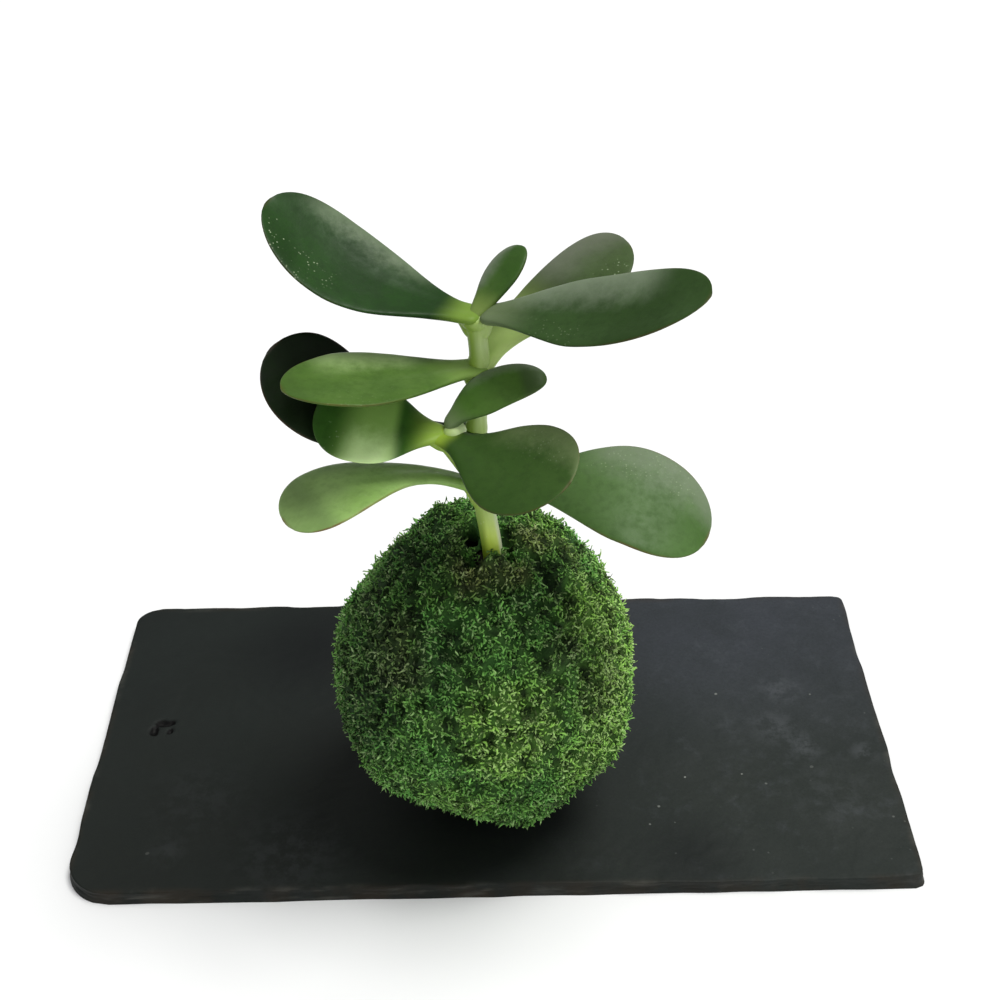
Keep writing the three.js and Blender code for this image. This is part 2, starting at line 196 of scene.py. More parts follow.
def keep_values(piece, **values):
    """Stores a number for each point, which the material reads by its name."""
    for name, numbers in values.items():
        attribute = piece.data.attributes.new(name, "FLOAT", "POINT")
        attribute.data.foreach_set("value", np.asarray(numbers, np.float32).ravel())


def finish_piece(piece, material, node):
    piece.data.materials.clear()
    piece.data.materials.append(material)
    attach(piece, "root")
    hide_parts(node)


def triangles(*corners):
    """Triangles from threes of arrays of their first, second and third corners."""
    return np.concatenate([np.stack(np.broadcast_arrays(*three), 1) for three in corners])


def skin(name, points, ends):
    """A piece over rings of points, closed by a point at both ends."""
    rings, sides, _ = points.shape
    r, s = (index.ravel() for index in np.meshgrid(np.arange(rings - 1), np.arange(sides), indexing="ij"))
    a, b = r * sides + s, r * sides + (s + 1) % sides
    s = np.arange(sides)
    t, last, end = (s + 1) % sides, (rings - 1) * sides, rings * sides
    caps = (end, t, s), (end + 1, last + s, last + t)
    faces = triangles((a, b, b + sides), (a, b + sides, a + sides), *caps)
    return mesh_piece(name, np.concatenate([points.reshape(-1, 3), ends]), faces)


def joined(piece, tools, operation):
    """Joins or cuts a piece with others, which are used up."""
    for tool in tools:
        step = piece.modifiers.new("join", "BOOLEAN")
        step.object = tool
        step.operation = operation
        step.solver = "MANIFOLD"
        evaluated = piece.evaluated_get(bpy.context.evaluated_depsgraph_get())
        mesh = bpy.data.meshes.new_from_object(evaluated)
        piece.modifiers.clear()
        piece.data = mesh
        bpy.data.objects.remove(tool)
    mesh.shade_smooth()
    return piece


def ball_points(subdivisions):
    """Directions and triangles of an even ball of radius 1."""
    shape = bmesh.new()
    bmesh.ops.create_icosphere(shape, subdivisions=subdivisions, radius=1)
    points = np.array([v.co for v in shape.verts])
    faces = np.array([[v.index for v in f.verts] for f in shape.faces])
    shape.free()
    return unit(points), faces


# Materials
def shade(red, green, blue):
    """A colour from its 0 to 255 values, as the shader wants it."""
    levels = [c / 255 for c in (red, green, blue)]
    return tuple(c / 12.92 if c < 0.04045 else ((c + 0.055) / 1.055) ** 2.4 for c in levels) + (1,)


class Paint:
    """A node material, built up one node at a time. Sizes are in millimetres, colours from 0 to 255."""

    def __init__(self, name):
        self.material = bpy.data.materials.new(name)
        self.material.use_nodes = True
        self.tree = self.material.node_tree
        self.place = self.node("TexCoord", {}, "Object")

    def feed(self, socket, value):
        if isinstance(value, bpy.types.NodeSocket):
            self.tree.links.new(value, socket)
        else:
            socket.default_value = value

    def node(self, kind, inputs, output=0, **settings):
        """Adds a node and gives back one of its outputs."""
        node = self.tree.nodes.new("ShaderNode" + kind)
        for name, value in settings.items():
            setattr(node, name, value)
        for socket, value in inputs.items():
            self.feed(node.inputs[socket], value)
        return node.outputs[output]

    def value(self, name):
        return self.node("Attribute", {}, "Fac", attribute_name=name)

    def math(self, operation, first, second=0, third=0):
        return self.node("Math", {0: first, 1: second, 2: third}, operation=operation)

    def times(self, first, second):
        return self.math("MULTIPLY", first, second)

    def range(self, value, low, high, to_low=0, to_high=1):
        inputs = dict(enumerate((value, low, high, to_low, to_high)))
        return self.node("MapRange", inputs, interpolation_type="SMOOTHSTEP")

    def mix(self, share, first, second):
        ends = [shade(*end) if isinstance(end, tuple) else end for end in (first, second)]
        return self.node("Mix", {0: share, 6: ends[0], 7: ends[1]}, 2, data_type="RGBA")

    def lay(self, colour, share, *others):
        """Lays a colour over the one so far, by the product of the shares."""
        for other in others:
            share = self.times(share, other)
        self.colour = self.mix(share, self.colour, colour)

    def finished(self, **values):
        """The material, with its colour and other values given to the shader."""
        shader = self.tree.nodes["Principled BSDF"]
        for name, value in dict(base_color=self.colour, **values).items():
            self.feed(shader.inputs[name.replace("_", " ").title().replace("Ior", "IOR")], value)
        return self.material

    def stretched(self, stretch):
        return self.node("Mapping", {"Scale": stretch, "Vector": self.place})

    def noise(self, size, detail=3, roughness=0.55, stretch=(1, 1, 1)):
        inputs = {"Scale": 1 / (size * MM), "Detail": detail, "Roughness": roughness}
        return self.node("TexNoise", {**inputs, "Vector": self.stretched(stretch)}, "Fac")

    def cells(self, size, stretch=(1, 1, 1)):
        """Distance to the middle of scattered cells, from 0 to about 1."""
        inputs = {"Scale": 1 / (size * MM), "Vector": self.stretched(stretch)}
        return self.node("TexVoronoi", inputs, "Distance")

    def bump(self, height, depth, **under):
        """A normal for a height from 0 to 1 that stands for a depth in millimetres."""
        return self.node("Bump", {"Distance": depth * MM, "Height": height, **under})

    def away(self, x, y):
        """Level distance from a place, in metres."""
        ends = {0: self.stretched((1, 1, 0)), 1: (x * MM, y * MM, 0)}
        return self.node("VectorMath", ends, "Value", operation="DISTANCE")

    def spot(self, x, y, radius, wobble):
        """1 inside a ragged spot on the level, 0 outside it."""
        ragged = self.math("MULTIPLY_ADD", wobble, radius * MM, radius * 0.5 * MM)
        return self.range(self.math("SUBTRACT", self.away(x, y), ragged), 0, -0.35 * MM)

    def smear(self, x, y, radius):
        """1 at a place on the level, fading to 0 at a radius."""
        return self.range(self.away(x, y), radius * MM, 0)


# Camera and light, with angles in degrees
CAMERA = Named(
    place=(4.69, -344.65, 347.58), yaw=-0.072, pitch=36.238, roll=-1.235, lens=54, sensor=36, sees=(0.01, 50))


def make_camera():
    ahead = Vector(direction(90 - CAMERA.yaw, -CAMERA.pitch))
    level = Vector(direction(-CAMERA.yaw, 0))
    above = level.cross(ahead)
    roll = math.radians(CAMERA.roll)
    right = level * math.cos(roll) + above * math.sin(roll)
    up = above * math.cos(roll) - level * math.sin(roll)
    data = bpy.data.cameras.new("camera")
    data.lens, data.sensor_width = CAMERA.lens, CAMERA.sensor
    data.clip_start, data.clip_end = CAMERA.sees
    camera = placed("camera", data)
    turn = Matrix((right, up, -ahead)).transposed().to_4x4()
    camera.matrix_world = Matrix.Translation(Vector(CAMERA.place) * MM) @ turn
    bpy.context.scene.camera = camera


# Soft distant lamps: the direction each shines from, how wide it looks in degrees, strength and colour
LAMPS = dict(
    key=((0.34, 0.1, 0.93), 30, 2.5, (255, 254, 251)),
    fill=((0.3, -0.8, 0.5), 60, 0.35, (250, 252, 255)),
)
SKY_STRENGTH = 0.4
FLOOR = Named(size=60000, drop=0.05)


def make_light():
    for name, (from_where, width, strength, colour) in LAMPS.items():
        data = bpy.data.lights.new(name, "SUN")
        data.angle, data.energy, data.color = math.radians(width), strength, shade(*colour)[:3]
        lamp = placed(name, data)
        lamp.rotation_euler = Vector(from_where).to_track_quat("Z", "Y").to_euler()
        lamp.location = Vector(from_where).normalized()
    world = bpy.data.worlds.new("sky")
    world.use_nodes = True
    sky = world.node_tree.nodes["Background"]
    sky.inputs["Color"].default_value = (1, 1, 1, 1)
    sky.inputs["Strength"].default_value = SKY_STRENGTH
    bpy.context.scene.world = world
    bpy.context.scene.view_settings.view_transform = "Standard"


def make_floor():
    half = FLOOR.size / 2
    corners = [(-half, -half), (half, -half), (half, half), (-half, half)]
    floor = mesh_piece("floor", [(x, y, -FLOOR.drop) for x, y in corners], [(0, 1, 2, 3)])
    paint = Paint("pale_floor")
    paint.colour = shade(246, 247, 248)
    floor.data.materials.append(paint.finished(roughness=0.9, specular_ior_level=0.1))


# Slate plate. On its riven top lie plies, thin layers with ragged ends, and a finer grain with height,
# size along and deep, and pattern. The rim shows layers too
TOP = Named(cells_long=300, cells_deep=150, riven_squeeze=0.6, fade=(4, 20))
PLY = Named(height=0.12, sink=0.2, count=2.2, long=31, deep=19, ragged=0.35, ragged_size=5, slope_from=0.86)
GRAIN = [(0.05, 2.4, 1.8, 1.2), (0.03, 1.1, 1.1, 7.7)]
RIM = Named(rows=11, layer=0.55, reach=0.5, size=4, wave=0.4, wave_size=14, undercut=1.3)

# The pit in the slate: x, y, reach along and across of the dents that make it
PIT = [(-106.4, 5.9, 2.4, 1.5), (-103.9, 6, 1.6, 1.1), (-108.7, 2.7, 1.5, 2), (-103.6, 2.3, 0.9, 1.2)]
PIT_FORM = Named(depth=1.4, ragged=0.3, ragged_size=0.9, full=0.55, gone=1.25)

# Pale specks on the slate: x, y, radius and strength
SPECKS = [
    (59.5, -22.5, 0.45, 0.8), (77.2, -21.7, 0.45, 0.7), (73.7, 13.9, 0.6, 0.45), (104.4, 13, 0.5, 0.3),
    (50.3, -34.1, 0.55, 0.45), (47, -41.1, 0.45, 0.5), (54.5, -40.5, 0.4, 0.3), (84, -25.7, 0.55, 0.3),
    (99.3, -19, 0.7, 0.16), (120, -40, 0.5, 0.25), (122.9, -42, 0.45, 0.2), (-101.8, -48.7, 0.7, 0.12),
]

# Dusty smudges, then darker places: painted shade beside the ball and a faint darker patch near the left
# edge, written in the same order
SMUDGES = [
    (95, 15.6, 11, 0.12), (90.6, -1.3, 12, 0.12), (98.6, -10.4, 9, 0.15), (117, -13, 7, 0.14),
    (73, 2, 8, 0.06), (60, -57, 6, 0.06), (-96, -48, 9, 0.04), (-60, -50, 26, 0.05),
    (-90, -28, 24, 0.03), (104, -32, 22, 0.06),
]
SHADE_AND_DARK_PATCHES = [(-60, 40, 38, 1), (58, -54, 24, 0.6), (-118, 22, 18, 0.15)]

HALF_PLATE = np.array([PLATE.length, PLATE.depth]) / 2


def corner_inset(y, front, back):
    radius = np.where(y < 0, front, back)
    into = np.maximum(0, np.abs(y) - (HALF_PLATE[1] - radius))
    return radius - np.sqrt(radius * radius - into * into)


def plate_outline(across, deep):
    half_length, half_depth = HALF_PLATE

    def rag(place, side):
        """How far a side's ragged edge stands back."""
        return PLATE.edge_roughness * share_noise(place / PLATE.edge_wave, side * 7.3, 0.5)

    y = (deep - 0.5) * PLATE.depth
    left = -half_length + corner_inset(y, *PLATE.left_corners) + rag(y, 1)
    right = half_length - corner_inset(y, *PLATE.right_corners) - rag(y, 2)
    x = left + (right - left) * across
    reach = half_depth - np.where(deep < 0.5, rag(x, 3), rag(x, 4))
    return np.stack([x, y * reach / half_depth], -1)


def chip(edge):
    shape = share_noise(*edge.T / PLATE.chip_size, 3.7)
    return PLATE.chip_least + PLATE.chip_depth * shape * shape


def inward(points, distance):
    return points - points / HALF_PLATE * distance[:, None]


def pit_share(points):
    ragged = PIT_FORM.ragged * noise(*points.T / PIT_FORM.ragged_size, 4.4)
    x, y = points.T
    away = np.min([np.hypot((x - at_x) / long, (y - at_y) / deep) for at_x, at_y, long, deep in PIT], axis=0)
    return 1 - smoothstep(away + ragged, PIT_FORM.full, PIT_FORM.gone)


def riven_top(points):
    x, y = points.T
    away = np.hypot(x - BALL.centre[0], y - BALL.centre[1]) - PLATE.flat_radius
    riven = share_noise(x / PLATE.riven_size, y / (TOP.riven_squeeze * PLATE.riven_size), 9.1)
    height = PLATE.thickness - PLATE.riven_depth * riven * smoothstep(away, 0, PLATE.flat_fade)
    ragged = PLY.ragged * noise(*points.T / PLY.ragged_size, 6.1)
    ply = PLY.count * noise(x / PLY.long, y / PLY.deep, 2.2) + ragged
    step = np.floor(ply) + smoothstep(ply - np.floor(ply), PLY.slope_from, 1)
    grain = sum(depth * noise(x / long, y / deep, pattern) for depth, long, deep, pattern in GRAIN)
    height = height + smoothstep(away, *TOP.fade) * (PLY.height * step - PLY.sink + grain)
    return height - PIT_FORM.depth * pit_share(points)


def rim_numbers(nx, ny):
    """Numbers of a grid's border points in order, from its front left corner."""
    front, back = np.arange(nx), ny * (nx + 1) + np.arange(nx, 0, -1)
    right, left = np.arange(ny) * (nx + 1) + nx, np.arange(ny, 0, -1) * (nx + 1)
    return np.concatenate([front, right, back, left])


def make_plate():
    nx, ny, rows = TOP.cells_long, TOP.cells_deep, RIM.rows
    i, j = np.meshgrid(np.arange(nx + 1), np.arange(ny + 1))
    edge = plate_outline(i.ravel() / nx, j.ravel() / ny)
    flat = inward(edge, chip(edge))
    top = np.column_stack([flat, riven_top(flat)])
    a = (np.arange(ny)[:, None] * (nx + 1) + np.arange(nx)).ravel()
    faces = [triangles((a, a + 1, a + nx + 2), (a, a + nx + 2, a + nx + 1))]

    rim = rim_numbers(nx, ny)
    outer, reach = edge[rim], chip(edge[rim])
    points, above = [top], rim
    for row in range(1, rows + 1):
        down = row / rows
        z = top[rim, 2] * (1 - down)
        layer = np.floor(z / RIM.layer + RIM.wave * noise(*outer.T / RIM.wave_size, 5.5))
        ply = RIM.reach * share_noise(*outer.T / RIM.size, 3.1 * layer)
        ring = inward(outer, reach * (1 - down) ** RIM.undercut + ply * np.sin(math.pi * down))
        points.append(np.column_stack([ring, z]))
        below = len(top) + (row - 1) * len(rim) + np.arange(len(rim))
        b, d = np.roll(above, -1), np.roll(below, -1)
        faces.append(triangles((above, below, b), (b, below, d)))
        above = below
    centre = len(top) + rows * len(rim)
    points.append(np.zeros((1, 3)))
    faces.append(triangles((centre, np.roll(above, -1), above)))
    points = np.concatenate(points)
    piece = mesh_piece("slate_riven_plate", points, np.concatenate(faces))
    level = points[:, :2]
    border = np.min(HALF_PLATE - np.abs(level), axis=1)
    on_top = points[:, 2] > PLATE.thickness / 2
    keep_values(piece, border=border, chipped_pit=pit_share(level) * on_top)
    finish_piece(piece, slate_paint(), "slate_plate")


def slate_paint():
    paint = Paint("slate_stone")
    along, deep = (paint.node("SeparateXYZ", {0: paint.place}, axis) for axis in "XY")
    rightward, backward = paint.range(along, 0, 75 * MM), paint.range(deep, -30 * MM, 50 * MM)
    # The top is painted lighter and bluer towards the back right: partly the slate's own tone, partly painted
    # sheen
    left = paint.mix(backward, (29, 33, 30), (25, 30, 28))
    right = paint.mix(backward, (43, 48, 45), (56, 60, 66))
    paint.colour = paint.mix(rightward, left, right)
    cloud = paint.noise(34, 4, 0.6)
    paint.lay((34, 40, 38), paint.range(cloud, 0.35, 0.7, 0, 0.35))
    paint.lay((84, 88, 94), paint.range(paint.noise(9, 6, 0.7), 0.5, 0.78), rightward, 0.25)
    grain = paint.noise(0.9, 4, 0.7)
    paint.lay((24, 27, 26), paint.range(grain, 0.3, 0.75, 0, 0.3))
    edge = paint.range(paint.value("border"), 3.5, 0.2)
    paint.lay((56, 45, 33), edge, paint.range(paint.noise(11, 3), 0.35, 0.65), 0.4)
    # Pale streaks along the edge: partly lighter chipped stone, partly a painted highlight on the edge
    paint.lay((86, 86, 80), edge, paint.range(paint.noise(9, 4, 0.6, (0.5, 1, 3)), 0.5, 0.68), 0.4)
    wobble = paint.noise(0.8, 3)
    for x, y, radius, strength in SPECKS:
        paint.lay((150, 154, 148), paint.spot(x, y, radius, wobble), strength)
    drift = paint.range(paint.noise(5, 5, 0.7), 0.4, 0.62)
    for x, y, radius, strength in SMUDGES:
        paint.lay((128, 132, 138), paint.smear(x, y, radius), drift, strength)
    # Painted shade beside the ball, and a faint darker patch near the left edge
    for x, y, radius, strength in SHADE_AND_DARK_PATCHES:
        paint.lay((16, 20, 20), paint.smear(x, y, radius), strength)
    flecks = paint.range(paint.cells(3.2), 0.13, 0.06)
    paint.lay((120, 124, 122), flecks, rightward, paint.range(paint.noise(14, 2), 0.55, 0.7), 0.25)
    # The pit is painted nearly black: painted shade in the hollow
    paint.lay((3, 3, 3), paint.range(paint.value("chipped_pit"), 0.1, 0.5))
    rough = paint.bump(paint.noise(7, 5, 0.6, (1, 1.6, 1)), 0.12)
    return paint.finished(
        roughness=paint.range(cloud, 0.3, 0.7, 0.5, 0.66), specular_ior_level=0.14,
        normal=paint.bump(grain, 0.05, Normal=rough),
    )


# Moss ball: heights and sizes of its swells, lumps, tufts and pits, and the colours of the mat
MOSS = Named(
    seed=11, sink=2.7, swell=0.8, swell_count=3.1, lump=1.1, lump_size=6, clump=0.6, pit=1.7, pit_size=2.1,
    patch_size=5, warm=0.9, warm_size=8, tip=0.05, tone=0.25, mottle=0.3, mottle_size=2.5,
)

# The open mouth behind the stem and a small burrow beside it: radius, shift from the stem and floor
MOUTH = Named(radius=4.6, shift=(-0.8, 0.8), floor=77)
BURROW = Named(radius=2.3, shift=(-6.1, 6.6), floor=93)
HOLE_TOP = 117

# How far the tufts keep from the openings, the stem and the slate, and which way the mouth opens
CLEAR = Named(mouth=1.2, burrow=0.7, stem=0.9, slate=1.5, opens_to=(-0.8, 0.6), opens_from=0.5)

# The layers of moss: darker threads that cover the mat, and curls that stand out of them in small tufts
LAYERS = dict(
    moss_threads=Named(
        tufts=9500, strands=3, steps=9, reach=1.3, rise=0.6, length=(2.2, 3.4), half=(0.24, 0.38),
        bend=(0.4, 1.05), wander=1, kink=0.38, level=(0.15, 0.7), tone=(0.57, 0.12), patch=0.2,
        in_pits=0.6, stray=0, stray_length=(4, 5), pieces=3),
    moss_curls=Named(
        tufts=5000, strands=4, steps=10, reach=1.5, rise=1.2, length=(2.5, 4.1), half=(0.2, 0.33),
        bend=(0.85, 1.6), wander=1.2, kink=0.46, level=(0.05, 0.6), tone=(0.77, 0.16), patch=0.28,
        in_pits=0.08, stray=0.006, stray_length=(3.8, 5.5), pieces=2),
)

# What the layers share; the winding is the turn in radians from one point of a strand to the next
STRAND = Named(
    jitter=0.9, tuft_tone=0.07, root=0.3, lean=0.4, lean_scatter=0.5, width=(0.75, 1.25), thinning=0.6,
    winding=2.3, bright_tone=0.2, dry_tone=0.08,
)

# Moss heaped against the front of the stem, at the left and behind: place, reach and height
HEAPS = [((2.1, -31.8), 4.2, 9.5), ((-22.5, -18.5), 3.2, 3.6), ((-12.5, -9.5), 4.5, 3.2)]
HEAP_FALL = 1.5

# A fold in the moss, with painted shade in it: places along it, its half width and its depth
FOLD = [(14.7, -28.4, 99.6), (15.8, -30.2, 98.9), (16.8, -31.6, 98), (17.4, -33.6, 97), (17.9, -35.6, 96)]
FOLD_WIDTH = 1.5
FOLD_DEPTH = 1.6


def broad_shape(units):
    lift = MOSS.swell * noise(*(MOSS.swell_count * units.T + 5))
    for azimuth, elevation, height, spread in LUMPS:
        angle = np.degrees(np.arccos(np.clip(units @ direction(azimuth, elevation), -1, 1)))
        lift = lift + height * np.exp(-((angle / spread) ** 2))
    return lift


def level_from_stem(units):
    """Level places of the plain ball, counted from where the stem leaves the moss."""
    return units[:, :2] * BALL.radius + BALL.centre[:2] - NODE["soil_line"][:2]


def dimple(units):
    open_share = 1 - smoothstep(lengths(level_from_stem(units)), DIMPLE.floor, DIMPLE.radius)
    return np.where(units[:, 2] > 0, DIMPLE.depth * open_share, 0)


def on_ball(units, lift, lowest=REST):
    points = units * ((BALL.radius, BALL.radius, BALL.half_height) + lift[:, None]) + BALL.centre
    points[:, 2] = np.maximum(points[:, 2], lowest)
    return points


def in_fold(units):
    """How far a place lies in the fold, from 0 to 1."""
    surface = on_ball(units, np.zeros(len(units)))
    away = np.min([lengths(surface - place) for place in FOLD], axis=0)
    return 1 - smoothstep(away, FOLD_WIDTH, 2 * FOLD_WIDTH)


def tuft_height(units):
    """Noise from -1 in the pits between the tufts to 1 on the tufts."""
    return layered_noise(units * BALL.radius + 60, MOSS.pit_size, 2)


def pit_depth(units):
    """How deep a place lies in those pits or the fold, from 0 to 1."""
    return np.maximum(smoothstep(-tuft_height(units), 0, 0.5), in_fold(units))


def mat_lift(units):
    """Height of the moss mat, under its strands, over the plain ball."""
    lump = MOSS.lump * layered_noise(units * BALL.radius, MOSS.lump_size)
    tufted = MOSS.clump * tuft_height(units) - MOSS.pit * pit_depth(units) - FOLD_DEPTH * in_fold(units)
    lift = broad_shape(units) - dimple(units) - MOSS.sink + lump + tufted
    level = on_ball(units, lift)[:, :2]
    for place, reach, height in HEAPS:
        heap = height * np.exp(-HEAP_FALL * (lengths(level - place) / reach) ** 2)
        lift = lift + np.where(units[:, 2] > 0, heap, 0)
    return lift


# Colour zones of the moss: place on the ball, reach in millimetres, strength
ZONES = dict(
    dry=[
        ((-5.3, -34.6, 101.6), 7, 0.9), ((-2.9, -39.6, 99.8), 7, 0.8), ((3.9, -39.4, 99.5), 7, 0.6),
        ((9.2, -37.2, 99.2), 7, 0.8), ((-8.7, -29.9, 102.4), 6, 0.6), ((13.6, -21.7, 100.6), 7, 0.7),
        ((6.8, -24.3, 102.7), 6, 0.7), ((20.5, -19.3, 96.8), 6, 0.5), ((-9.3, -24.1, 103), 6, 0.5),
        ((26, -22, 94), 7, 0.5),
    ],
    olive=[
        ((23, -50, 82), 8, 0.6), ((-28, -49.5, 82), 15, 0.8), ((-34, -31.5, 88), 12, 0.5),
        ((-40, -46.5, 66), 14, 0.5), ((34, -46.5, 66), 14, 0.35),
    ],
    # Deep zones darken the moss: partly darker moss, partly painted shade on the ball's lower left side
    deep=[
        ((-37, -34.5, 80), 20, 0.75), ((-23, -23.5, 98), 20, 1), ((17, -33.5, 98), 6, 1),
        ((-38, -49, 60), 18, 1), ((-42, -44, 46), 17, 1), ((-42, -38, 66), 12, 0.8),
        ((12, -41.5, 92), 7, 0.7), ((-14, -53.5, 84), 12, 0.5), ((22, -49.5, 84), 7, 0.6),
        ((1.5, -43, 98), 5, 0.8),
    ],
    # Bright zones: partly paler moss, partly painted light on the ball's lit right side
    bright=[
        ((34, -35.5, 84), 18, 1), ((38, -41.5, 66), 20, 0.9), ((32, -49.5, 50), 22, 0.8),
        ((8, -63.5, 62), 17, 0.95), ((3, -64, 72), 11, 0.95), ((42, -11.5, 60), 28, 0.9),
        ((20, -15.5, 98), 12, 0.6), ((-10, -63.5, 34), 14, 0.4),
    ],
)
ZONE_EDGE = Named(ragged=0.35, size=7, full=0.45, gone=1.15)

# Moss colours of the darkest and the palest strands, plain and in the zones, with their strength there
PLAIN_MOSS = ((26, 90, 24), (142, 224, 110))
ZONE_COLOURS = dict(
    warm=((50, 88, 18), (172, 212, 98), 0.4), bright=((60, 126, 26), (190, 248, 116), 1),
    olive=((38, 52, 22), (140, 154, 98), 1), dry=((38, 42, 16), (176, 176, 112), 1),
    deep=((10, 40, 12), (74, 124, 60), 0.8),
)


def zone(points, spots):
    """How far points lie in a zone's spots, from 0 to 1."""
    most = np.zeros(len(points))
    ragged = ZONE_EDGE.ragged * layered_noise(points, ZONE_EDGE.size)
    for place, reach, strength in spots:
        away = lengths(points - place) / reach + ragged
        most = np.maximum(most, strength * (1 - smoothstep(away, ZONE_EDGE.full, ZONE_EDGE.gone)))
    return most


def moss_zones(points):
    zones = {name: zone(points, spots) for name, spots in ZONES.items()}
    # The pit value carries painted shade into the pits between the tufts and into the fold
    zones["pit"] = pit_depth(unit(points - BALL.centre))
    zones["warm"] = np.clip(0.5 + MOSS.warm * layered_noise(points + 30, MOSS.warm_size, 2), 0, 1)
    return zones


def hole_cutter(name, hole):
    """An upright tube that cuts one of the openings."""
    x, y = np.add(NODE["soil_line"][:2], hole.shift)
    line = np.array([(x, y, hole.floor), (x, y, HOLE_TOP)])
    return tube(name, line, np.full(2, hole.radius), sides=64, end_rise=0)


def make_moss_body():
    units, faces = ball_points(subdivisions=6)
    body = mesh_piece("moss_mat", on_ball(units, mat_lift(units)), faces)
    inner_units, inner_faces = ball_points(subdivisions=4)
    inner = on_ball(inner_units, np.full(len(inner_units), -BALL.moss), REST + MOSS_FLOOR)
    cavity = mesh_piece("cavity", inner, inner_faces)
    joined(body, [cavity, hole_cutter("mouth", MOUTH), hole_cutter("burrow", BURROW)], "DIFFERENCE")
    points = points_of(body)
    mottle = np.clip(MOSS.tone + MOSS.mottle * layered_noise(points, MOSS.mottle_size), 0, 1)
    keep_values(body, tip=np.full(len(points), MOSS.tip), tone=mottle, **moss_zones(points))
    finish_piece(body, moss_paint("moss_mat"), "moss_cover")


def tuft_places(rng, count):
    """Directions of the tufts, spread evenly and jittered, clear of the openings and the slate."""
    n = np.arange(count)
    z = 1 - (2 * n + 1) / count
    turn = n * math.pi * (3 - math.sqrt(5))
    level = np.sqrt(1 - z * z)
    jitter = rng.normal(0, STRAND.jitter / math.sqrt(count), (count, 3))
    units = unit(np.stack([level * np.cos(turn), level * np.sin(turn), z], 1) + jitter)
    flat = level_from_stem(units)
    behind = flat @ CLEAR.opens_to > CLEAR.opens_from
    near_stem = np.where(behind, MOUTH.radius + CLEAR.mouth, STEM.base + CLEAR.stem)
    in_burrow = lengths(flat - BURROW.shift) < BURROW.radius + CLEAR.burrow
    hole = ((lengths(flat) < near_stem) | in_burrow) & (units[:, 2] > 0)
    under = on_ball(units, broad_shape(units))[:, 2] < REST + CLEAR.slate
    return units[~(hole | under)]


def grown_strands(rng, layer):
    """Directions, middle lines, two sideways directions at each step, half widths and tones of strands."""
    tufts = tuft_places(rng, layer.tufts)
    each = layer.strands
    units = np.repeat(tufts, each, axis=0)
    count = len(units)
    share = np.sqrt(rng.random(count))
    outward = squared_off(rng.normal(0, 1, (count, 3)), units)
    units = unit(units + outward * (share * layer.reach / BALL.radius)[:, None])
    grows = (pit_depth(units) <= 0.5) | (rng.random(count) < layer.in_pits)
    kept = grows & (in_fold(units) < 0.5)
    tuft = np.repeat(np.arange(len(tufts)), each)[kept]
    units, outward, share = units[kept], outward[kept], share[kept]
    count = len(units)
    rise = rng.uniform(0, layer.rise, len(tufts))[tuft] * (1 - share)
    place = on_ball(units, mat_lift(units) - STRAND.root + rise)
    lean = outward * (STRAND.lean + (1 - STRAND.lean) * share)[:, None]
    lean = lean + rng.normal(0, STRAND.lean_scatter, (count, 3))
    heading = unit(units * rng.uniform(*layer.level, (count, 1)) + lean)
    axis = unit(unit(np.cross(units, heading)) + rng.normal(0, layer.wander, (count, 3)))
    bend = rng.uniform(*layer.bend, count)
    length = rng.uniform(*layer.length, count)
    length = np.where(rng.random(count) < layer.stray, rng.uniform(*layer.stray_length, count), length)
    side = unit(np.cross(heading, rng.normal(0, 1, (count, 3))))
    path = []
    for _ in range(layer.steps):
        path.append((place, side, np.cross(heading, side)))
        place = place + heading * (length / (layer.steps - 1))[:, None]
        heading = unit(turned(heading, axis, bend) + rng.normal(0, layer.kink, (count, 3)))
        side = squared_off(side, heading)
    lines, sides, others = (np.stack(arrays, 1) for arrays in zip(*path))
    lowest, spread = layer.tone
    tuft_tone = rng.normal(0, STRAND.tuft_tone, len(tufts))[tuft]
    patch = layer.patch * layered_noise(lines[:, 0], MOSS.patch_size, 2)
    tone = np.clip(lowest + patch + tuft_tone + rng.exponential(spread, count), 0, 1)
    half = rng.uniform(*layer.half, count)
    return units, lines, sides, others, half, tone


def threads(rng, line, side, other, half):
    """Closed knobbly threads, whose points wind round their middle lines."""
    count, steps, _ = line.shape
    along = np.linspace(0, 1, steps)
    uneven = rng.uniform(*STRAND.width, (count, steps))
    width = half[:, None] * uneven * (1 - STRAND.thinning * along**3)
    points = line + wound(side, other, np.arange(steps) * STRAND.winding) * width[..., None]
    n, last = np.arange(steps - 3), steps - 1
    ends = ([0, last - 2], [2, last - 1], [1, last])
    return points, triangles((n, n + 1, n + 3), (n, n + 3, n + 2), ends), along


def make_strands():
    rng = np.random.default_rng(MOSS.seed)
    paint = moss_paint("moss_strands")
    for name, layer in LAYERS.items():
        units, line, side, other, half, tone = grown_strands(rng, layer)
        points, faces, tip = threads(rng, line, side, other, half)
        points[:, :, 2] = np.maximum(points[:, :, 2], REST)
        zones = moss_zones(line[:, 0])
        # Strands in the bright zones are paler: partly paler moss, partly painted light on the lit side
        tone = np.clip(tone + STRAND.bright_tone * zones["bright"] + STRAND.dry_tone * zones["dry"], 0, 1)
        azimuth_share = np.arctan2(units[:, 1], units[:, 0]) / (2 * math.pi) % 1
        sector = (azimuth_share * layer.pieces).astype(int)
        each = points.shape[1]
        for n in range(layer.pieces):
            mine = sector == n
            total = int(mine.sum())
            index = (np.arange(total) * each)[:, None, None] + faces
            piece = mesh_piece(f"{name}_{n + 1}", points[mine].reshape(-1, 3), index.reshape(-1, 3))
            values = {zone_name: np.repeat(numbers[mine], each) for zone_name, numbers in zones.items()}
            keep_values(piece, tip=np.tile(tip, total), tone=np.repeat(tone[mine], each), **values)
            finish_piece(piece, paint, "moss_cover")


